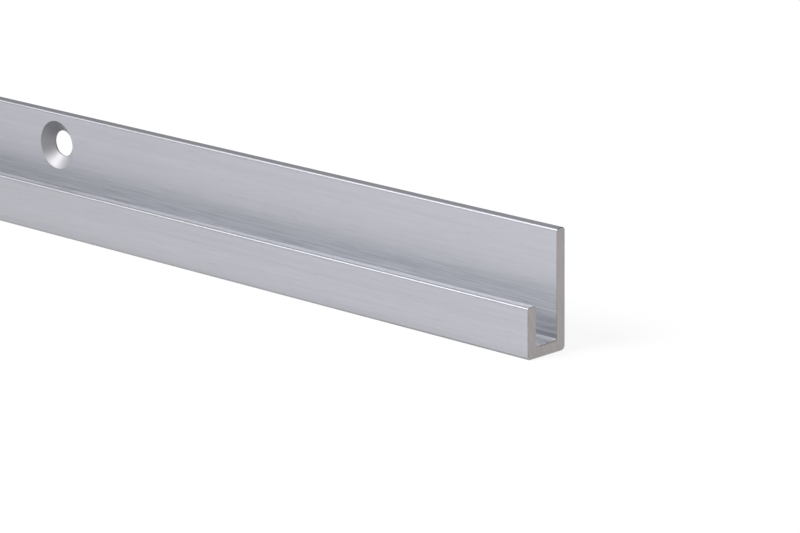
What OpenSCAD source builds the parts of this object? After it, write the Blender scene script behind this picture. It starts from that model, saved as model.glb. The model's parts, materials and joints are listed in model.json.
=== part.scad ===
// J-section rail in aluminium: a tall back leg drilled for countersunk screws, a narrow floor and a low
// front lip, which together make a channel, open upwards, along the whole length.
// Sizes are in millimetres. X runs along the length, the lip is on the -Y side and Z is up.
// The origin is on the bottom face, in the middle of the length and of the width.

/* [Section] */
// Length of the piece
length = 1000; // [300:10:3000]
// Width over the lip and the back leg
width = 9; // [6.5:0.1:16]
// Height of the back leg
leg_h = 21; // [16:0.1:40]
// Height of the front lip
lip_h = 9; // [4:0.1:10]
// Thickness of the back leg, the floor and the lip
wall = 2; // [1.5:0.1:2.8]

/* [Edges] */
// Radius along both top edges of the back leg
leg_edge_r = 0.6; // [0.2:0.05:0.95]
// Radius along both top edges of the lip
lip_edge_r = 0.5; // [0.2:0.05:0.95]
// Radius along the bottom edge under the lip
toe_r = 0.5; // [0.2:0.05:1.5]
// Radius along the bottom edge under the back leg
heel_r = 0.8; // [0.2:0.05:1.5]
// Radius in both inner corners of the channel
root_r = 0.4; // [0.2:0.05:1.5]

/* [Screw holes] */
// Diameter of the screw holes
hole_d = 4.8; // [3:0.1:6]
// Distance from the top of the back leg down to the hole centres
hole_drop = 6.2; // [5.5:0.1:8]
// Distance between hole centres along the length
hole_pitch = 250; // [50:10:500]
// Included angle of the countersinks
sink_angle = 100; // [60:1:110]
// Straight length left in each hole behind its countersink
hole_land = 0.25; // [0.05:0.05:1.5]

/* [Hidden] */
$fn = 96;
front_y = -width / 2;
back_y = width / 2;
leg_front_y = back_y - wall;
lip_back_y = front_y + wall;
hole_z = leg_h - hole_drop;
hole_count = floor(length / hole_pitch);
first_hole_x = -hole_pitch * (hole_count - 1) / 2;
sink_depth = wall - hole_land;
sink_slope = tan(sink_angle / 2);
// How far a cut or a fillet runs on past the face it starts from
lap = 0.5;

// The part between a square corner and a quarter round of radius r.
// The corner is at the point given, and the round is to its upper right when turn is 0.
module corner_web(point, turn, r) {
    translate(point)
    rotate(turn)
    difference() {
        translate([-lap, -lap])
        square(r + lap);
        translate([r, r])
        circle(r);
    }
}

// The J seen from the +X end: width runs across and height runs up
module j_section() {
    difference() {
        union() {
            // Back leg
            translate([leg_front_y, 0])
            square([wall, leg_h]);
            // Floor
            translate([front_y, 0])
            square([width, wall]);
            // Lip
            translate([front_y, 0])
            square([wall, lip_h]);
            // Inner corners of the channel
            corner_web([lip_back_y, wall], 0, root_r);
            corner_web([leg_front_y, wall], 90, root_r);
        }
        // Bottom edges
        corner_web([front_y, 0], 0, toe_r);
        corner_web([back_y, 0], 90, heel_r);
        // Top edges of the back leg
        corner_web([back_y, leg_h], 180, leg_edge_r);
        corner_web([leg_front_y, leg_h], 270, leg_edge_r);
        // Top edges of the lip
        corner_web([lip_back_y, lip_h], 180, lip_edge_r);
        corner_web([front_y, lip_h], 270, lip_edge_r);
    }
}

// Screw hole and countersink through the back leg, with the leg's front face at height 0
module screw_hole() {
    translate([0, 0, -lap])
    cylinder(d = hole_d, h = wall + 2 * lap);
    translate([0, 0, -lap])
    cylinder(d1 = hole_d + 2 * (sink_depth + lap) * sink_slope, d2 = hole_d, h = sink_depth + lap);
}

module j_profile() {
    color([0.74, 0.75, 0.77])
    difference() {
        translate([-length / 2, 0, 0])
        rotate([90, 0, 90])
        linear_extrude(length)
        j_section();
        for (i = [0 : hole_count - 1])
            translate([first_hole_x + i * hole_pitch, leg_front_y, hole_z])
            rotate([-90, 0, 0])
            screw_hole();
    }
}

j_profile();
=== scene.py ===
"""Looks of a J-section aluminium rail: its mesh, its finishes, a plain studio and a camera."""

import json
import math

import bpy
import numpy as np
from mathutils import Matrix, Vector
from mathutils.geometry import tessellate_polygon


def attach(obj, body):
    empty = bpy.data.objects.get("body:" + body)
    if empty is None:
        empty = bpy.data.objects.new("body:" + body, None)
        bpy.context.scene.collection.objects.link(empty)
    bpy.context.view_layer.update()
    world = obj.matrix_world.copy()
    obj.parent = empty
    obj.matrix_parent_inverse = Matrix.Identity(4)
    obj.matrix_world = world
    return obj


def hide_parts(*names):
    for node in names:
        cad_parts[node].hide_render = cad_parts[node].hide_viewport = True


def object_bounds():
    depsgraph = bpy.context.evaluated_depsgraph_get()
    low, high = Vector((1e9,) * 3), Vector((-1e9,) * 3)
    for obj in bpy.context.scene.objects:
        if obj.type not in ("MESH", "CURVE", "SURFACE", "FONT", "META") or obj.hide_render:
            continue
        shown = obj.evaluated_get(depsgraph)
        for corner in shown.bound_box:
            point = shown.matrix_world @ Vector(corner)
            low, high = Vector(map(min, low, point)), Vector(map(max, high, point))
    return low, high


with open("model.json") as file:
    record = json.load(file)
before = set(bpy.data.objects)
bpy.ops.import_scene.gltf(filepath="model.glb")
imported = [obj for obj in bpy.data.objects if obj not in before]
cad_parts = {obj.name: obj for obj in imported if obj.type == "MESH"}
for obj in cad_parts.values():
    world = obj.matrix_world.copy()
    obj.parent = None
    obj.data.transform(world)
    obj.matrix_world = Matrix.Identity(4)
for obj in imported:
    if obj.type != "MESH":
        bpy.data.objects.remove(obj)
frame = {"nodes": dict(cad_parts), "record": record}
cad_low, cad_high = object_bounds()

RAIL = "j_profile"
MM = 0.001
PER_MM = 1 / MM
X, Y, Z = range(3)
ALONG_RAIL = (1.0, 0.0, 0.0)
ACROSS_RAIL = (0.0, 1.0, 1.0)
WHITE = (1.0, 1.0, 1.0, 1.0)

# Small shapes that sawing and drilling leave on the section
BURR_BREAK = 0.10 * MM
RIM_BREAK = 0.12 * MM
BORE_BREAK = 0.04 * MM

# How finely the mesh is divided
ARC_STEPS = 10
RIM_STEPS = 4
CONE_STEPS = 8
PATCH_STEPS = 24
PATCH_RINGS = 4
PATCH_MARGIN = 0.3 * MM
LONGEST_STEP = 25 * MM

# Order of the rail's finishes in its list of materials
SKIN, SAWN, DRILLED = range(3)


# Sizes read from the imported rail

# What counts as square to an axis, as the whole length and as the same place
SQUARE = 0.999
WHOLE = 0.9
NEAR = 0.01 * MM


def flat_faces(axis):
    """Faces square to an axis that run the rail's whole length: {level: (low corner, high corner)}."""
    mesh = frame["nodes"][RAIL].data
    found = {}
    for face in mesh.polygons:
        if abs(face.normal[axis]) > SQUARE:
            corners = np.array([mesh.vertices[i].co for i in face.vertices])
            level = round(float(corners[:, axis].mean()) / MM, 2) * MM
            found.setdefault(level, []).append(corners)
    spans = {level: np.concatenate(parts) for level, parts in found.items()}
    length = cad_high.x - cad_low.x
    return {
        level: (points.min(0), points.max(0))
        for level, points in spans.items()
        if np.ptp(points[:, X]) > WHOLE * length
    }


def screw_hole_places():
    """Places along the length, height and radius of the screw holes, from the record's mounts."""
    patterns = [m for m in frame["record"]["mounts"] if m["kind"] == "bolt_pattern"]
    places = []
    for pattern in patterns:
        half = pattern["dims"]["spacing_x_mm"] * MM / 2
        middle = pattern["pos_m"][X]
        places += [middle - half, middle + half]
    return sorted(places), patterns[0]["pos_m"][Z], patterns[0]["dims"]["hole_r_mm"] * MM


upright_faces = flat_faces(Y)
level_faces = flat_faces(Z)
lip_front, lip_back, leg_front, leg_back = sorted(upright_faces)
bottom, channel_floor, lip_top, leg_top = sorted(level_faces)
toe_r = upright_faces[lip_front][0][Z] - bottom
lip_r = lip_top - upright_faces[lip_front][1][Z]
heel_r = upright_faces[leg_back][0][Z] - bottom
leg_r = leg_top - upright_faces[leg_back][1][Z]
root_r = upright_faces[leg_front][0][Z] - channel_floor
middle_x = (cad_low.x + cad_high.x) / 2
hole_xs, hole_z, hole_r = screw_hole_places()


def countersink_sizes():
    """Radius of a countersink's rim and the place where its cone ends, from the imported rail's vertices."""
    points = np.array([v.co for v in frame["nodes"][RAIL].data.vertices])
    off_axis = np.hypot(points[:, X] - hole_xs[0], points[:, Z] - hole_z)
    on_front = abs(points[:, Y] - leg_front) < NEAR
    rim = on_front & (off_axis < leg_top - leg_r - hole_z)
    land = off_axis < hole_r + NEAR
    return float(off_axis[rim].max()), float(points[land, Y].min())


rim_r, cone_end = countersink_sizes()
patch_half = leg_top - leg_r - hole_z - PATCH_MARGIN


# Mesh of the rail


class RailMesh:
    """Collects points with normals and edge marks, and faces with finishes and map places."""

    def __init__(self):
        self.points, self.normals, self.edges = [], [], []
        self.faces, self.finishes, self.places = [], [], []

    def point(self, place, normal, edge=0.0):
        """Adds a point and gives its number."""
        self.points.append(tuple(map(float, place)))
        self.normals.append(tuple(map(float, normal)))
        self.edges.append(float(edge))
        return len(self.points) - 1

    def face(self, corners, finish, places):
        """Adds a face by its points' numbers, with a map place for each corner."""
        self.faces.append(tuple(corners))
        self.finishes.append(finish)
        self.places += [tuple(map(float, p)) for p in places]

    def build(self, name, materials):
        """The finished piece."""
        mesh = bpy.data.meshes.new(name)
        mesh.from_pydata(self.points, [], self.faces)
        for material in materials:
            mesh.materials.append(material)
        mesh.polygons.foreach_set("material_index", self.finishes)
        mesh.polygons.foreach_set("use_smooth", [True] * len(self.faces))
        chart = mesh.uv_layers.new(name="OFBake")
        chart.data.foreach_set("uv", np.ravel(self.places))
        marks = mesh.attributes.new("edge_mark", "FLOAT", "POINT")
        marks.data.foreach_set("value", self.edges)
        mesh.update()
        mesh.normals_split_custom_set_from_vertices(self.normals)
        piece = bpy.data.objects.new(name, mesh)
        bpy.context.scene.collection.objects.link(piece)
        return piece


# Flat map that the finishes are baked through: a strip for each half length, then a row of holes and ends
MAP_SIDES = (0.005, 0.995)
HALF_STRIPS = ((0.01, 0.45), (0.47, 0.91))
SMALL_ROW = (0.925, 0.995)
END_WIDTH = 0.16
HOLE_WIDTH = 0.14
SMALL_GAP = 0.01


def between(span, share):
    """The place a share of the way along a span."""
    return span[0] + (span[1] - span[0]) * share


def half_of(x):
    """Which half of the length a place is in."""
    return int(x > middle_x)


def strip_place(x, round_share, half):
    """Map place of a point on the skin, from its place along the length and round the outline."""
    along = (x - (cad_low.x, middle_x)[half]) / (middle_x - cad_low.x)
    return between(MAP_SIDES, along), between(HALF_STRIPS[half], round_share)


def patch_steps():
    """Places of a hole patch's grid lines about the hole's centre, evenly spaced in angle."""
    angles = np.radians(np.linspace(-45, 45, PATCH_STEPS + 1))
    return patch_half * np.tan(angles)


def station_places():
    """Places along the length: the grid lines of each hole patch, with longer even steps between."""
    places = [cad_low.x + BURR_BREAK]
    stops = [(hole_x - patch_half, hole_x + patch_steps()[1:]) for hole_x in hole_xs]
    stops.append((cad_high.x - BURR_BREAK, []))
    for stop, patch in stops:
        count = math.ceil((stop - places[-1]) / LONGEST_STEP)
        places += list(np.linspace(places[-1], stop, count + 1)[1:])
        places += list(patch)
    return np.array(places)


def section_corners(rows):
    """Corners of the J, anticlockwise seen from +X: (y, z, radius, extra heights on the run after)."""
    return [
        (lip_front, bottom, toe_r, []),
        (leg_back, bottom, heel_r, rows),
        (leg_back, leg_top, leg_r, []),
        (leg_front, leg_top, leg_r, rows[::-1]),
        (leg_front, channel_floor, root_r, []),
        (lip_back, channel_floor, root_r, []),
        (lip_back, lip_top, lip_r, []),
        (lip_front, lip_top, lip_r, []),
    ]


def rounded_outline(corners):
    """Points, outward normals and edge marks round the section. A mark is 1 in the middle of an outer arc
    and -1 in the middle of an inner one."""
    places = [np.array(c[:2]) for c in corners]
    points, normals, edges = [], [], []
    for i, (_, _, radius, rows) in enumerate(corners):
        before, here, after = places[i - 1], places[i], places[(i + 1) % len(places)]
        come = (here - before) / np.linalg.norm(here - before)
        leave = (after - here) / np.linalg.norm(after - here)
        turn = np.sign(come[0] * leave[1] - come[1] * leave[0])
        outward = np.array([come[1], -come[0]])
        centre = here - come * radius - turn * radius * outward
        for step in range(ARC_STEPS + 1):
            angle = turn * math.pi / 2 * step / ARC_STEPS
            normal = math.cos(angle) * outward + math.sin(angle) * np.array([-outward[1], outward[0]])
            points.append(centre + turn * radius * normal)
            normals.append(normal)
            edges.append(turn * math.sin(math.pi * step / ARC_STEPS))
        for row in rows:
            points.append(np.array([here[0], row]))
            normals.append(np.array([leave[1], -leave[0]]))
            edges.append(0.0)
    return np.array(points), np.array(normals), np.array(edges)


class Skin:
    """The section's outline drawn at every station along the rail."""

    def __init__(self, rail):
        self.rows = list(hole_z + patch_steps())
        self.outline, self.outward, edges = rounded_outline(section_corners(self.rows))
        runs = np.linalg.norm(np.roll(self.outline, -1, 0) - self.outline, axis=1)
        self.round_share = np.r_[0, np.cumsum(runs)] / runs.sum()
        self.stations = station_places()
        self.front_rows = self.row_numbers(leg_front)
        self.back_rows = self.row_numbers(leg_back)
        self.grid = [
            [
                rail.point((x, *place), (0, *normal), edge)
                for place, normal, edge in zip(self.outline, self.outward, edges)
            ]
            for x in self.stations
        ]

    def row_numbers(self, face_y):
        """Outline numbers of a leg face's patch rows, upwards."""
        on_face = abs(self.outline[:, 0] - face_y) < NEAR
        return [int(np.argmin(np.where(on_face, abs(self.outline[:, 1] - row), 1))) for row in self.rows]

    def patch_columns(self, hole_x):
        """Station numbers of a hole patch's grid lines."""
        return [int(np.argmin(abs(self.stations - hole_x - step))) for step in patch_steps()]

    def patch_cells(self):
        """Cells of the skin that the hole patches take the place of, as (station, outline number)."""
        cells = set()
        for hole_x in hole_xs:
            for i in self.patch_columns(hole_x)[:-1]:
                for rows in (self.front_rows, self.back_rows):
                    cells |= {(i, min(pair)) for pair in zip(rows, rows[1:])}
        return cells

    def face_share(self, rows, z):
        """Share of the way round the outline at a height on a leg face."""
        first, last = rows[0], rows[-1]
        share = (z - self.outline[first][1]) / (self.outline[last][1] - self.outline[first][1])
        return between((self.round_share[first], self.round_share[last]), share)


def add_skin(rail, skin):
    """Faces along the rail between one station's outline and the next."""
    count = len(skin.outline)
    left_out = skin.patch_cells()
    for i in range(len(skin.stations) - 1):
        half = half_of((skin.stations[i] + skin.stations[i + 1]) / 2)
        for j in range(count):
            if (i, j) in left_out:
                continue
            cells = ((i, j), (i, j + 1), (i + 1, j + 1), (i + 1, j))
            corners = [skin.grid[a][b % count] for a, b in cells]
            places = [strip_place(skin.stations[a], skin.round_share[b], half) for a, b in cells]
            rail.face(corners, SKIN, places)


def wall_rings():
    """Radius, depth and normal (outward, along Y) of the rings down a screw hole, from front to back."""
    tilt = math.atan((rim_r - hole_r) / (cone_end - leg_front))
    turn = math.pi / 2 - tilt
    centre_r = rim_r + RIM_BREAK * math.tan(turn / 2)
    centre_y = leg_front + RIM_BREAK
    rings = []
    for step in range(RIM_STEPS + 1):
        out = math.sin(turn * step / RIM_STEPS)
        along = math.cos(turn * step / RIM_STEPS)
        rings.append((centre_r - RIM_BREAK * out, centre_y - RIM_BREAK * along, -out, -along))
    start_r, start_y = rings[-1][:2]
    end_r = hole_r + BORE_BREAK
    end_y = cone_end - BORE_BREAK / math.tan(tilt)
    for step in range(1, CONE_STEPS + 1):
        share = step / CONE_STEPS
        radius = between((start_r, end_r), share)
        depth = between((start_y, end_y), share)
        rings.append((radius, depth, -math.cos(tilt), -math.sin(tilt)))
    rings.append((hole_r, cone_end + BORE_BREAK, -1.0, 0.0))
    rings.append((hole_r, leg_back - BORE_BREAK, -1.0, 0.0))
    rings.append((hole_r + BORE_BREAK, leg_back, 0.0, 1.0))
    return rings


def patch_walk():
    """Grid numbers (column, row) once round a hole patch's edge, anticlockwise seen from the front."""
    last = PATCH_STEPS
    walk = [(last, row) for row in range(last)]
    walk += [(column, last) for column in range(last, 0, -1)]
    walk += [(0, row) for row in range(last, 0, -1)]
    walk += [(column, 0) for column in range(last)]
    return walk


def add_hole(rail, skin, hole_x, map_x):
    """Rings of faces over the front face's patch, down the hole and out over the back face's patch."""
    walk = patch_walk()
    columns = skin.patch_columns(hole_x)
    steps = patch_steps()
    square = [(steps[column], steps[row]) for column, row in walk]
    angles = [math.atan2(z, x) for x, z in square]
    half = half_of(hole_x)

    def face_ring(radius, share, face_y, facing):
        """A ring on a flat face, a share of the way from the patch's edge to a circle."""
        ring = []
        for angle, (x, z) in zip(angles, square):
            ring_x = hole_x + between((x, radius * math.cos(angle)), share)
            ring_z = hole_z + between((z, radius * math.sin(angle)), share)
            ring.append(rail.point((ring_x, face_y, ring_z), (0, facing, 0)))
        return ring

    def wall_ring(radius, depth, outward, facing):
        """A ring on the hole's wall."""
        return [
            rail.point(
                (hole_x + radius * math.cos(a), depth, hole_z + radius * math.sin(a)),
                (outward * math.cos(a), facing, outward * math.sin(a)),
            )
            for a in angles
        ]

    def join(outer, inner, finish, place):
        """Faces between two rings. place(point number, ring number, step round) gives a map place."""
        for k in range(len(outer)):
            n = (k + 1) % len(outer)
            cells = ((outer[k], 0, k), (outer[n], 0, k + 1), (inner[n], 1, k + 1), (inner[k], 1, k))
            rail.face([cell[0] for cell in cells], finish, [place(*cell) for cell in cells])

    def on_face(rows):
        """Map places on a leg face."""
        def place(number, _ring, _step):
            x, _, z = rail.points[number]
            return strip_place(x, skin.face_share(rows, z), half)
        return place

    def on_wall(loop, loop_count):
        """Map places on one loop of faces down the hole's wall."""
        def place(_number, ring, step):
            down = between(SMALL_ROW, (loop + ring) / loop_count)
            return map_x + HOLE_WIDTH * step / len(angles), down
        return place

    rings = wall_rings()
    shares = [step / PATCH_RINGS for step in range(1, PATCH_RINGS + 1)]
    front = [[skin.grid[columns[column]][skin.front_rows[row]] for column, row in walk]]
    front += [face_ring(rings[0][0], share, leg_front, -1) for share in shares]
    walls = [front[-1]] + [wall_ring(*ring) for ring in rings[1:]]
    back = [walls[-1]] + [face_ring(rings[-1][0], share, leg_back, 1) for share in shares[-2::-1]]
    back.append([skin.grid[columns[column]][skin.back_rows[row]] for column, row in walk])
    for outer, inner in zip(front, front[1:]):
        join(outer, inner, SKIN, on_face(skin.front_rows))
    for loop, (outer, inner) in enumerate(zip(walls, walls[1:])):
        join(outer, inner, DRILLED, on_wall(loop, len(walls) - 1))
    for inner, outer in zip(back, back[1:]):
        join(inner, outer, SKIN, on_face(skin.back_rows))


def add_end(rail, skin, side, map_x):
    """A sawn end with its sharp edge broken all round."""
    near = skin.grid[-1] if side > 0 else skin.grid[0]
    end_x = cad_high.x if side > 0 else cad_low.x
    inset = skin.outline - skin.outward * BURR_BREAK
    ring = [rail.point((end_x, *p), (side, 0, 0)) for p in inset]

    def place(p):
        across = (p[0] - lip_front) / (leg_back - lip_front)
        return map_x + END_WIDTH * (p[1] - bottom) / (leg_top - bottom), between(SMALL_ROW, across)

    for j in range(len(ring)):
        k = (j + 1) % len(ring)
        corners = [near[j], near[k], ring[k], ring[j]]
        places = [place(p) for p in (skin.outline[j], skin.outline[k], inset[k], inset[j])]
        if side < 0:
            corners.reverse()
            places.reverse()
        rail.face(corners, SAWN, places)
    for a, b, c in tessellate_polygon([[Vector((0, *p)) for p in inset]]):
        turn = np.cross(inset[b] - inset[a], inset[c] - inset[a])
        order = (a, b, c) if turn * side > 0 else (c, b, a)
        rail.face([ring[i] for i in order], SAWN, [place(inset[i]) for i in order])


def make_rail(materials):
    """The whole rail: its skin, its screw holes and its two ends."""
    rail = RailMesh()
    skin = Skin(rail)
    add_skin(rail, skin)
    map_x = SMALL_GAP
    for hole_x in hole_xs:
        add_hole(rail, skin, hole_x, map_x)
        map_x += HOLE_WIDTH + SMALL_GAP
    for side in (-1, 1):
        add_end(rail, skin, side, map_x)
        map_x += END_WIDTH + SMALL_GAP
    return rail.build("aluminium_rail", materials)


# Node helpers

# Numbers of a Mix node's factor, two inputs and result, for colours and for directions
COLOUR_SOCKETS = (0, 6, 7, 2)
DIRECTION_SOCKETS = (0, 4, 5, 1)
# Range that most of a noise lies in, and its middle
NOISE_LOW = 0.25
NOISE_HIGH = 0.75
NOISE_MIDDLE = 0.5


def fill_input(tree, socket, value):
    """Links an input to another node's output, or sets it."""
    if isinstance(value, bpy.types.NodeSocket):
        tree.links.new(value, socket)
    else:
        socket.default_value = value


def add_node(tree, kind, inputs=None, **settings):
    """A node with its settings, and its inputs either linked or set."""
    node = tree.nodes.new(kind)
    for name, value in settings.items():
        setattr(node, name, value)
    for name, value in (inputs or {}).items():
        fill_input(tree, node.inputs[name], value)
    return node


def math_node(tree, operation, a, b=0.0, c=0.0):
    """The result of a sum or other operation on up to three values."""
    node = add_node(tree, "ShaderNodeMath", operation=operation)
    for socket, value in zip(node.inputs, (a, b, c)):
        fill_input(tree, socket, value)
    return node.outputs["Value"]


def weighted_sum(tree, terms, start=0.0):
    """A number plus each value times its weight."""
    total = start
    for value, weight in terms:
        total = math_node(tree, "MULTIPLY_ADD", value, weight, total)
    return total


def smooth_step(tree, value, start, stop):
    """0 up to one level of a value, then rising smoothly to 1 at another."""
    node = add_node(
        tree,
        "ShaderNodeMapRange",
        {"Value": value, "From Min": start, "From Max": stop},
        interpolation_type="SMOOTHSTEP",
    )
    return node.outputs["Result"]


def spread(tree, value, low, high):
    """A value about 0.5, spread over a range."""
    node = add_node(
        tree,
        "ShaderNodeMapRange",
        {"Value": value, "From Min": NOISE_LOW, "From Max": NOISE_HIGH, "To Min": low, "To Max": high},
    )
    return node.outputs["Result"]


def mixed(tree, kind, sockets, factor, first, second):
    """A colour or direction between two others, any of the three inputs linked or set."""
    mix = add_node(tree, "ShaderNodeMix", data_type=kind)
    for number, value in zip(sockets, (factor, first, second)):
        fill_input(tree, mix.inputs[number], value)
    return mix.outputs[sockets[-1]]


def blended(tree, factor, first, second):
    """A colour between two others."""
    return mixed(tree, "RGBA", COLOUR_SOCKETS, factor, first, second)


def tinted(tree, value, dark, light):
    """A colour between a dark and a light one, by a value about 0.5."""
    return blended(tree, spread(tree, value, 0.0, 1.0), (*dark, 1.0), (*light, 1.0))


def scaled(tree, colour, factor):
    """A colour made darker or lighter by a factor."""
    node = add_node(tree, "ShaderNodeVectorMath", {0: colour, "Scale": factor}, operation="SCALE")
    return node.outputs["Vector"]


def distance_from(tree, value, middle):
    """How far a value is from a middle one, to either side."""
    return math_node(tree, "ABSOLUTE", math_node(tree, "SUBTRACT", value, middle))


def object_place(tree):
    """A point's place in the rail's own frame."""
    return add_node(tree, "ShaderNodeTexCoord").outputs["Object"]


def object_axes(tree):
    """A point's X, Y and Z in the rail's own frame."""
    return add_node(tree, "ShaderNodeSeparateXYZ", {"Vector": object_place(tree)}).outputs


def noise(tree, inputs, **settings):
    """A noise about 0.5, at a scale of 1 unless another is given."""
    return add_node(tree, "ShaderNodeTexNoise", {"Scale": 1.0, **inputs}, **settings).outputs["Fac"]


def bumped(tree, height, depth):
    """The surface's normal, tilted by a height."""
    return add_node(tree, "ShaderNodeBump", {"Height": height, "Distance": depth}).outputs["Normal"]


def new_group(name, inputs, outputs):
    """An empty shader node group with float inputs and outputs: (tree, input node, output node)."""
    tree = bpy.data.node_groups.new(name, "ShaderNodeTree")
    for label, value in inputs.items():
        socket = tree.interface.new_socket(label, in_out="INPUT", socket_type="NodeSocketFloat")
        socket.default_value = value
    for label in outputs:
        tree.interface.new_socket(label, in_out="OUTPUT", socket_type="NodeSocketFloat")
    return tree, tree.nodes.new("NodeGroupInput"), tree.nodes.new("NodeGroupOutput")


def new_finish(name):
    """A material with its shader: (material, tree, shader)."""
    material = bpy.data.materials.new(name)
    material.use_nodes = True
    tree = material.node_tree
    return material, tree, tree.nodes["Principled BSDF"]


# Effects

# Long grain: how close dashes lie, how long broad lines and scratches are, and which scratches show
DASH_CROWDING = 1.3
BROAD_STRETCH = 8.0
SCRATCH_STRETCH = 0.5
SCRATCH_LEVELS = (0.66, 0.76)


def long_grain_group():
    """Lines along the rail from the die and the brush: fine, short and broad ones, and a few scratches."""
    tree, given, result = new_group(
        "long_grain",
        {
            "Fine Lines per mm": 2.0,
            "Broad Lines per mm": 0.7,
            "Line Length mm": 40.0,
            "Dash Length mm": 6.0,
        },
        ("Fine", "Dash", "Broad", "Scratch"),
    )
    axes = object_axes(tree)
    fine_count = given.outputs["Fine Lines per mm"]
    broad_count = given.outputs["Broad Lines per mm"]
    line_length = given.outputs["Line Length mm"]
    dash_length = given.outputs["Dash Length mm"]

    def lines(per_mm, length_mm, detail, roughness):
        """A noise drawn out along the rail."""
        along = math_node(tree, "DIVIDE", PER_MM, length_mm)
        across = math_node(tree, "MULTIPLY", per_mm, PER_MM)
        spot = add_node(
            tree,
            "ShaderNodeCombineXYZ",
            {
                "X": math_node(tree, "MULTIPLY", axes["X"], along),
                "Y": math_node(tree, "MULTIPLY", axes["Y"], across),
                "Z": math_node(tree, "MULTIPLY", axes["Z"], across),
            },
        )
        return noise(tree, {"Vector": spot.outputs["Vector"], "Detail": detail, "Roughness": roughness})

    dash_count = math_node(tree, "MULTIPLY", fine_count, DASH_CROWDING)
    broad_length = math_node(tree, "MULTIPLY", line_length, BROAD_STRETCH)
    scratch_length = math_node(tree, "MULTIPLY", dash_length, SCRATCH_STRETCH)
    fine = lines(fine_count, line_length, detail=3.0, roughness=0.6)
    dash = lines(dash_count, dash_length, detail=2.0, roughness=0.5)
    broad = lines(broad_count, broad_length, detail=2.0, roughness=0.5)
    scratch = lines(fine_count, scratch_length, detail=1.0, roughness=0.4)
    tree.links.new(fine, result.inputs["Fine"])
    tree.links.new(dash, result.inputs["Dash"])
    tree.links.new(broad, result.inputs["Broad"])
    tree.links.new(smooth_step(tree, scratch, *SCRATCH_LEVELS), result.inputs["Scratch"])
    return tree


def handling_group():
    """Faint uneven patches and specks left by handling and by the anodising bath."""
    tree, given, result = new_group(
        "handling", {"Patch Size mm": 30.0, "Specks per mm": 5.2}, ("Cloud", "Speck")
    )
    place = object_place(tree)
    patches = math_node(tree, "DIVIDE", PER_MM, given.outputs["Patch Size mm"])
    specks = math_node(tree, "MULTIPLY", given.outputs["Specks per mm"], PER_MM)
    cloud = noise(tree, {"Vector": place, "Scale": patches, "Detail": 4.0, "Roughness": 0.55})
    speck = noise(tree, {"Vector": place, "Scale": specks, "Detail": 2.0, "Roughness": 0.6})
    tree.links.new(cloud, result.inputs["Cloud"])
    tree.links.new(speck, result.inputs["Speck"])
    return tree


LONG_GRAIN = long_grain_group()
HANDLING = handling_group()


def effect(tree, group, inputs):
    """Outputs of an effect placed in a material with its own values."""
    node = add_node(tree, "ShaderNodeGroup", node_tree=group)
    for name, value in inputs.items():
        node.inputs[name].default_value = value
    return node.outputs


# Satin skin: colours between which its lines vary, outside, and lighter in the channel as painted bounce
# light
SATIN_DARK = (0.428, 0.433, 0.476)
SATIN_LIGHT = (0.569, 0.575, 0.633)
# Lighter colours in the channel: painted bounce light
CHANNEL_LIT_DARK = (0.493, 0.509, 0.545)
CHANNEL_LIT_LIGHT = (0.741, 0.764, 0.818)
# Paler, warmer tint mixed into the channel's floor
CHANNEL_FLOOR_TINT = (0.860, 0.830, 0.800, 1.0)
CHANNEL_FLOOR_TINT_SHARE = 0.3
SATIN_ROUGHNESS = (0.48, 0.40)
SATIN_METALLIC = 0.5
SATIN_ANISOTROPY = 0.5
# Clear sealed layer over the anodising
SEAL_ROUGHNESS = 0.34
SEAL_IOR = 1.5
# Lines of the open skin, and the closer ones in the channel, where the die drags most
SATIN_LINES = {"Fine Lines per mm": 2.2, "Line Length mm": 40.0, "Dash Length mm": 6.5}
DRAG_LINES = {"Fine Lines per mm": 4.5, "Line Length mm": 30.0, "Dash Length mm": 8.0}
SATIN_PATCHES = {"Patch Size mm": 45.0}
GRAIN_DEPTH = 0.004 * MM
SCRATCH_TONE = -0.12
SCRATCH_HEIGHT = -0.5
# Share of each kind of mark in the skin's tone, and of the lines added in the channel
FINE_SHARE = 0.35
DASH_SHARE = 0.25
BROAD_SHARE = 0.25
CLOUD_SHARE = 0.15
DRAG_FINE_SHARE = 1.4
DRAG_DASH_SHARE = 1.2
# Painted light and shade, as shares of the skin's colour, and how lines and highlights change on the upper
# leg and edges
SKIN_MARGIN = 0.1 * MM
# Painted sheen on the lip's crest
LIP_CREST_SHEEN = 0.11
LIP_CREST = lip_top - 0.3 * lip_r
# Painted light on the leg above the lip, and calmer lines there
UPPER_LEG_LIGHT = 0.05
LEG_CALM = 0.30
LEG_FADE = 5.0 * MM
# Painted shade low down, near the floor
LOW_SHADE_LOSS = 0.16
LOW_SHADE_HEIGHT = 2.2 * MM
# Painted shade on the toe: less than on other edges along the rail, more near its ends
TOE_SHADE_RELIEF = 0.08
TOE_END_SHADE = 0.30
TOE_END_SHADE_SPAN = (65 * MM, 20 * MM)
# Painted shade on the outer edges, toning down their highlights
EDGE_SHADE_LOSS = 0.32
EDGE_POLISH = 0.05
EDGE_CALM = 0.85
EDGE_TURN = 0.5
# Painted shade: a darker band low in the channel, part way up its walls
SHADE_BAND_HEIGHT = channel_floor + 3.6 * MM
SHADE_BAND_HALF = 2.2 * MM
SHADE_BAND_LOSS = 0.20
# Where the channel's painted bounce light begins and is full
BOUNCE_LIGHT_TOP = lip_top + LEG_FADE
BOUNCE_LIGHT_FULL = channel_floor + 2.5 * MM
# Painted fall of light along the length: a slow rise and fall in the skin's tone
LIGHT_FALLOFF_LENGTH = 620 * MM
LIGHT_FALLOFF_START = -4.20
LIGHT_FALLOFF_DEPTH = 0.085


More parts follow.
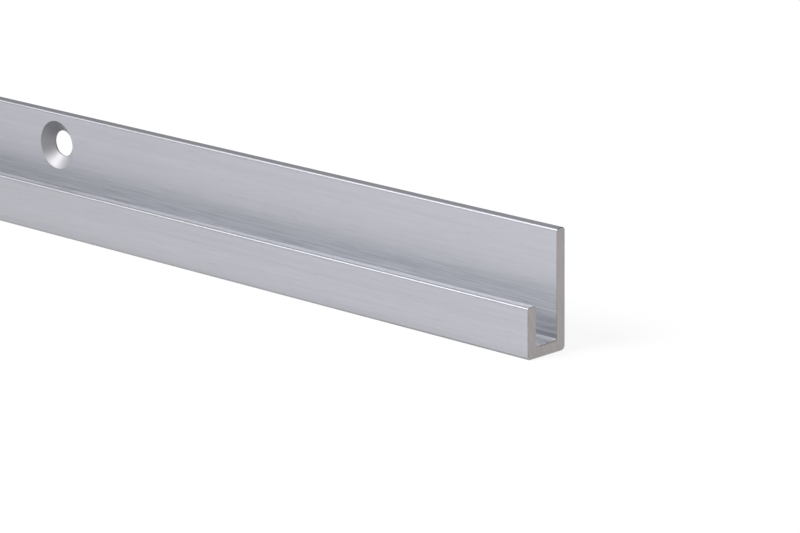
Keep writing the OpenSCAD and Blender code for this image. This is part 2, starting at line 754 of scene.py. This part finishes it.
def bounce_light_depth(tree, axes):
    """Mask of painted bounce light in the channel, by how deep a place lies: 1 near its floor, fading to 0 a
    little above the lip.
    """
    depth = smooth_step(tree, axes["Z"], BOUNCE_LIGHT_TOP, BOUNCE_LIGHT_FULL)
    off_middle = distance_from(tree, axes["Y"], (lip_back + leg_front) / 2)
    inside = math_node(tree, "LESS_THAN", off_middle, (leg_front - lip_back) / 2 + SKIN_MARGIN)
    above = math_node(tree, "GREATER_THAN", axes["Z"], channel_floor - SKIN_MARGIN)
    return math_node(tree, "MULTIPLY", depth, math_node(tree, "MULTIPLY", inside, above))


def lip_crest(tree, axes):
    """1 on top of the lip, where a painted sheen goes, and 0 below its rounded edges."""
    before_channel = math_node(tree, "LESS_THAN", axes["Y"], lip_back + SKIN_MARGIN)
    crest = smooth_step(tree, axes["Z"], lip_top - lip_r, LIP_CREST)
    return math_node(tree, "MULTIPLY", before_channel, crest)


def near_ends(tree, axes):
    """1 close to either end of the rail, fading to 0 along it."""
    off_middle = distance_from(tree, axes["X"], middle_x)
    from_end = math_node(tree, "SUBTRACT", cad_high.x - middle_x, off_middle)
    return smooth_step(tree, from_end, *TOE_END_SHADE_SPAN)


def painted_length_falloff(tree, axes):
    """A painted slow rise and fall of light along the length, from -1 to 1."""
    turn = math_node(tree, "MULTIPLY_ADD", axes["X"], 2 * math.pi / LIGHT_FALLOFF_LENGTH, LIGHT_FALLOFF_START)
    return math_node(tree, "SINE", turn)


def open_skin_colour(tree, axes, tone, convex, painted_falloff):
    """Colour outside the channel: a painted sheen on the lip's crest, painted light on the upper leg,
    painted shade low down, on the outer edges and at the toe's ends, and a painted fall of light along the
    length.
    """
    low_down = smooth_step(tree, axes["Z"], bottom + LOW_SHADE_HEIGHT, bottom)
    toe = math_node(tree, "MULTIPLY", low_down, convex)
    shaded_toe_ends = math_node(tree, "MULTIPLY", toe, near_ends(tree, axes))
    up_leg = smooth_step(tree, axes["Z"], lip_top, lip_top + LEG_FADE)
    shade = weighted_sum(
        tree,
        (
            (lip_crest(tree, axes), LIP_CREST_SHEEN),
            (up_leg, UPPER_LEG_LIGHT),
            (low_down, -LOW_SHADE_LOSS),
            (convex, -EDGE_SHADE_LOSS),
            (toe, TOE_SHADE_RELIEF),
            (shaded_toe_ends, -TOE_END_SHADE),
            (painted_falloff, LIGHT_FALLOFF_DEPTH),
        ),
        1.0,
    )
    contrast = weighted_sum(tree, ((up_leg, -LEG_CALM),), 1.0)
    off_middle = math_node(tree, "SUBTRACT", tone, NOISE_MIDDLE)
    calmed = math_node(tree, "MULTIPLY_ADD", off_middle, contrast, NOISE_MIDDLE)
    return scaled(tree, tinted(tree, calmed, SATIN_DARK, SATIN_LIGHT), shade)


def channel_lit_colour(tree, axes, tone, painted_falloff):
    """Colour in the channel: lighter as painted bounce light, closely lined by the die, with a band of
    painted shade.
    """
    drag = effect(tree, LONG_GRAIN, DRAG_LINES)
    dragged = weighted_sum(
        tree,
        ((drag["Fine"], DRAG_FINE_SHARE), (drag["Dash"], DRAG_DASH_SHARE), (tone, 1.0)),
        -(DRAG_FINE_SHARE + DRAG_DASH_SHARE) * NOISE_MIDDLE,
    )
    # Painted shade: a darker band part way down the channel
    shade_band = smooth_step(tree, distance_from(tree, axes["Z"], SHADE_BAND_HEIGHT), SHADE_BAND_HALF, 0.0)
    shade = weighted_sum(tree, ((shade_band, -SHADE_BAND_LOSS), (painted_falloff, LIGHT_FALLOFF_DEPTH)), 1.0)
    return scaled(tree, tinted(tree, dragged, CHANNEL_LIT_DARK, CHANNEL_LIT_LIGHT), shade)


def highlight_direction(tree, convex):
    """Direction in which highlights spread: round the section, but along the rail on its outer edges."""
    around = add_node(tree, "ShaderNodeTangent", direction_type="RADIAL", axis="X").outputs["Tangent"]
    on_edge = smooth_step(tree, convex, 0.0, EDGE_TURN)
    return mixed(tree, "VECTOR", DIRECTION_SOCKETS, on_edge, around, ALONG_RAIL)


def satin_anodised():
    """The rail's skin: satin silver lined along its length, with painted bounce light in the channel and a
    paler, warmer tint on its floor.
    """
    material, tree, shader = new_finish("satin_anodised")
    grain = effect(tree, LONG_GRAIN, SATIN_LINES)
    worn = effect(tree, HANDLING, SATIN_PATCHES)
    axes = object_axes(tree)
    tone = weighted_sum(
        tree,
        (
            (grain["Fine"], FINE_SHARE),
            (grain["Dash"], DASH_SHARE),
            (grain["Broad"], BROAD_SHARE),
            (worn["Cloud"], CLOUD_SHARE),
        ),
    )
    scored = weighted_sum(tree, ((grain["Scratch"], SCRATCH_TONE),), tone)
    edge = add_node(tree, "ShaderNodeAttribute", attribute_name="edge_mark").outputs["Fac"]
    convex = math_node(tree, "MAXIMUM", edge, 0.0)
    # Painted fall of light along the length
    painted_falloff = painted_length_falloff(tree, axes)

    bounce_lit = bounce_light_depth(tree, axes)
    outside = open_skin_colour(tree, axes, scored, convex, painted_falloff)
    # Painted bounce light: the channel takes its lighter colour
    colour = blended(tree, bounce_lit, outside, channel_lit_colour(tree, axes, scored, painted_falloff))
    # Paler, warmer tint on the channel's floor
    floor_tint = smooth_step(tree, axes["Z"], channel_floor + root_r, channel_floor)
    floor_tint = math_node(tree, "MULTIPLY", floor_tint, bounce_lit)
    colour = blended(tree, math_node(tree, "MULTIPLY", floor_tint, CHANNEL_FLOOR_TINT_SHARE), colour, CHANNEL_FLOOR_TINT)
    tree.links.new(colour, shader.inputs["Base Color"])

    roughness = spread(tree, tone, *SATIN_ROUGHNESS)
    tree.links.new(weighted_sum(tree, ((convex, -EDGE_POLISH),), roughness), shader.inputs["Roughness"])
    height = weighted_sum(tree, ((grain["Scratch"], SCRATCH_HEIGHT),), grain["Fine"])
    calm = weighted_sum(tree, ((convex, -EDGE_CALM),), 1.0)
    height = math_node(tree, "MULTIPLY", height, calm)
    tree.links.new(bumped(tree, height, GRAIN_DEPTH), shader.inputs["Normal"])
    tree.links.new(highlight_direction(tree, convex), shader.inputs["Tangent"])

    shader.inputs["Metallic"].default_value = SATIN_METALLIC
    shader.inputs["Anisotropic"].default_value = SATIN_ANISOTROPY
    shader.inputs["Coat Weight"].default_value = 1.0
    shader.inputs["Coat Roughness"].default_value = SEAL_ROUGHNESS
    shader.inputs["Coat IOR"].default_value = SEAL_IOR
    return material


# Sawn ends
SAWN_DARK = (0.358, 0.338, 0.336)
SAWN_LIGHT = (0.492, 0.466, 0.464)
SAWN_ROUGHNESS = (0.52, 0.40)
SAWN_DEPTH = 0.006 * MM
BLADE_CENTRE = (0.0, 110 * MM, 60 * MM)
BLADE_MARKS_PER_MM = 2.6
SAWN_PATCHES = {"Patch Size mm": 6.0}
# Share of the blade's marks, patches and specks in a sawn end's tone, and of specks in its height
BLADE_SHARE = 0.40
SAWN_CLOUD_SHARE = 0.35
SAWN_SPECK_SHARE = 0.25
SAWN_SPECK_HEIGHT = 0.4


def saw_cut():
    """The bare sawn ends: duller and warmer than the skin, with shallow arcs from the blade."""
    material, tree, shader = new_finish("saw_cut")
    worn = effect(tree, HANDLING, SAWN_PATCHES)
    from_blade = add_node(
        tree, "ShaderNodeVectorMath", {0: object_place(tree), 1: BLADE_CENTRE}, operation="SUBTRACT"
    )
    in_plane = add_node(
        tree, "ShaderNodeVectorMath", {0: from_blade.outputs[0], 1: ACROSS_RAIL}, operation="MULTIPLY"
    )
    radius = add_node(tree, "ShaderNodeVectorMath", {0: in_plane.outputs[0]}, operation="LENGTH")
    turns = math_node(tree, "MULTIPLY", radius.outputs["Value"], BLADE_MARKS_PER_MM * PER_MM)
    marks = noise(tree, {"W": turns, "Detail": 3.0, "Roughness": 0.6}, noise_dimensions="1D")
    tone = weighted_sum(
        tree,
        ((marks, BLADE_SHARE), (worn["Cloud"], SAWN_CLOUD_SHARE), (worn["Speck"], SAWN_SPECK_SHARE)),
    )
    tree.links.new(tinted(tree, tone, SAWN_DARK, SAWN_LIGHT), shader.inputs["Base Color"])
    tree.links.new(spread(tree, tone, *SAWN_ROUGHNESS), shader.inputs["Roughness"])
    height = weighted_sum(tree, ((worn["Speck"], SAWN_SPECK_HEIGHT),), marks)
    tree.links.new(bumped(tree, height, SAWN_DEPTH), shader.inputs["Normal"])
    shader.inputs["Metallic"].default_value = 1.0
    return material


# Countersinks
DRILLED_DARK = (0.410, 0.410, 0.435)
DRILLED_LIGHT = (0.500, 0.500, 0.525)
DRILLED_ROUGHNESS = (0.61, 0.53)
DRILLED_METALLIC = 0.6
DRILLED_DEPTH = 0.003 * MM
DRILLED_PATCHES = {"Patch Size mm": 5.0}
TOOL_RINGS_PER_MM = 5.2
RING_SHARE = 0.5


def drilled_metal():
    """The countersinks: turned metal with fine rings."""
    material, tree, shader = new_finish("drilled_metal")
    worn = effect(tree, HANDLING, DRILLED_PATCHES)
    axes = object_axes(tree)
    pitch = hole_xs[1] - hole_xs[0]
    beside = math_node(tree, "SUBTRACT", axes["X"], hole_xs[0])
    beside = math_node(tree, "WRAP", beside, pitch / 2, -pitch / 2)
    above = math_node(tree, "SUBTRACT", axes["Z"], hole_z)
    from_axis = add_node(tree, "ShaderNodeCombineXYZ", {"X": beside, "Z": above})
    radius = add_node(tree, "ShaderNodeVectorMath", {0: from_axis.outputs[0]}, operation="LENGTH")
    turns = math_node(tree, "MULTIPLY", radius.outputs["Value"], TOOL_RINGS_PER_MM * PER_MM)
    rings = noise(tree, {"W": turns, "Detail": 2.0, "Roughness": 0.5}, noise_dimensions="1D")
    tone = weighted_sum(tree, ((rings, RING_SHARE), (worn["Cloud"], 1 - RING_SHARE)))
    tree.links.new(tinted(tree, tone, DRILLED_DARK, DRILLED_LIGHT), shader.inputs["Base Color"])
    tree.links.new(spread(tree, tone, *DRILLED_ROUGHNESS), shader.inputs["Roughness"])
    tree.links.new(bumped(tree, rings, DRILLED_DEPTH), shader.inputs["Normal"])
    shader.inputs["Metallic"].default_value = DRILLED_METALLIC
    return material


# Studio
FLOOR_HALF = 60.0
FLOOR_DROP = 0.02 * MM
FLOOR_COLOUR = (0.13, 0.13, 0.13, 1.0)
FLOOR_GLOW = 0.90
AIR_LOW = 0.03
AIR_HIGH = 0.22
AIR_SPAN = (0.25, 0.85)
SOFTBOX_FROM = (-0.35, -0.66, 0.66)
SOFTBOX_POWER = 3.2
SOFTBOX_SPREAD = 38
# Low fill behind, which lights the rail's back without a glare of its own
FILL_FROM = (-0.25, 0.96, 0.12)
FILL_POWER = 2.2
FILL_SPREAD = 12


def pale_floor():
    """White floor that the camera and the metal see as white, with the rail's own shadow on it."""
    material = bpy.data.materials.new("pale_floor")
    material.cycles.emission_sampling = "NONE"
    material.use_nodes = True
    tree = material.node_tree
    tree.nodes.clear()
    path = add_node(tree, "ShaderNodeLightPath").outputs
    seen = math_node(tree, "MAXIMUM", path["Is Glossy Ray"], path["Is Transmission Ray"])
    seen = math_node(tree, "MAXIMUM", path["Is Camera Ray"], seen)
    paper = add_node(tree, "ShaderNodeBsdfDiffuse", {"Color": FLOOR_COLOUR})
    glow = add_node(tree, "ShaderNodeEmission", {"Strength": math_node(tree, "MULTIPLY", seen, FLOOR_GLOW)})
    both = add_node(tree, "ShaderNodeAddShader", {0: paper.outputs[0], 1: glow.outputs[0]})
    add_node(tree, "ShaderNodeOutputMaterial", {"Surface": both.outputs[0]})
    return material


def make_floor():
    """A wide floor just under the rail."""
    mesh = bpy.data.meshes.new("studio_floor")
    ways = ((-1, -1), (1, -1), (1, 1), (-1, 1))
    corners = [(x * FLOOR_HALF, y * FLOOR_HALF, bottom - FLOOR_DROP) for x, y in ways]
    mesh.from_pydata(corners, [], [(0, 1, 2, 3)])
    mesh.materials.append(pale_floor())
    floor = bpy.data.objects.new("studio_floor", mesh)
    bpy.context.scene.collection.objects.link(floor)


def add_lamp(name, comes_from, power, spread_degrees):
    """A distant soft lamp in the direction that its light comes from."""
    lamp = bpy.data.lights.new(name, "SUN")
    lamp.energy = power
    lamp.angle = math.radians(spread_degrees)
    placed = bpy.data.objects.new(name, lamp)
    placed.rotation_euler = Vector(comes_from).to_track_quat("Z", "Y").to_euler()
    bpy.context.scene.collection.objects.link(placed)
    return placed


def make_light():
    """A soft lamp at the front left, a low fill behind, and dim air that is lighter overhead."""
    world = bpy.data.worlds.new("studio_air")
    world.use_nodes = True
    tree = world.node_tree
    background = tree.nodes["Background"]
    background.inputs["Color"].default_value = WHITE
    towards = add_node(tree, "ShaderNodeTexCoord").outputs["Generated"]
    height = add_node(tree, "ShaderNodeSeparateXYZ", {"Vector": towards}).outputs["Z"]
    overhead = smooth_step(tree, height, *AIR_SPAN)
    strength = weighted_sum(tree, ((overhead, AIR_HIGH - AIR_LOW),), AIR_LOW)
    tree.links.new(strength, background.inputs["Strength"])
    bpy.context.scene.world = world

    add_lamp("front_softbox", SOFTBOX_FROM, SOFTBOX_POWER, SOFTBOX_SPREAD)
    fill = add_lamp("back_fill", FILL_FROM, FILL_POWER, FILL_SPREAD)
    fill.visible_glossy = False


# Camera, fitted to the photograph: where the near end's back bottom corner shows, and how far off it is
PHOTO_SIZE = (800, 533)
END_CORNER_PIXEL = (564.97, 349.46)
END_CORNER_DEPTH = 659.8 * MM
FOCAL_PIXELS = 3996.0
SENSOR_WIDTH = 36.0
VIEW_AZIMUTH = 44.63
VIEW_ELEVATION = 15.315
VIEW_ROLL = -0.567
NEAREST_SEEN = 0.05
FARTHEST_SEEN = 200.0


def make_camera():
    """A camera at the photograph's viewing angle, with the rail's end corner where the photograph has it."""
    azimuth = math.radians(VIEW_AZIMUTH)
    elevation = math.radians(VIEW_ELEVATION)
    roll = math.radians(VIEW_ROLL)
    ahead = Vector((math.sin(azimuth), -math.cos(azimuth), 0))
    back = ahead * math.cos(elevation) + Vector((0, 0, math.sin(elevation)))
    level_right = Vector((math.cos(azimuth), math.sin(azimuth), 0))
    level_up = back.cross(level_right)
    right = level_right * math.cos(roll) + level_up * math.sin(roll)
    up = level_up * math.cos(roll) - level_right * math.sin(roll)
    pixel = END_CORNER_DEPTH / FOCAL_PIXELS
    across = (END_CORNER_PIXEL[0] - PHOTO_SIZE[0] / 2) * pixel
    above = (PHOTO_SIZE[1] / 2 - END_CORNER_PIXEL[1]) * pixel
    corner = Vector((cad_high.x, leg_back, bottom))
    place = corner - across * right - above * up + END_CORNER_DEPTH * back
    lens = bpy.data.cameras.new("photo_camera")
    lens.sensor_width = SENSOR_WIDTH
    lens.lens = FOCAL_PIXELS / PHOTO_SIZE[0] * SENSOR_WIDTH
    lens.clip_start = NEAREST_SEEN
    lens.clip_end = FARTHEST_SEEN
    camera = bpy.data.objects.new("photo_camera", lens)
    turn = Matrix((right, up, back)).transposed()
    camera.matrix_world = Matrix.Translation(place) @ turn.to_4x4()
    bpy.context.scene.collection.objects.link(camera)
    bpy.context.scene.camera = camera


rail = make_rail([satin_anodised(), saw_cut(), drilled_metal()])
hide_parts(RAIL)
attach(rail, "root")
make_floor()
make_light()
make_camera()
bpy.context.scene.view_settings.view_transform = "Standard"
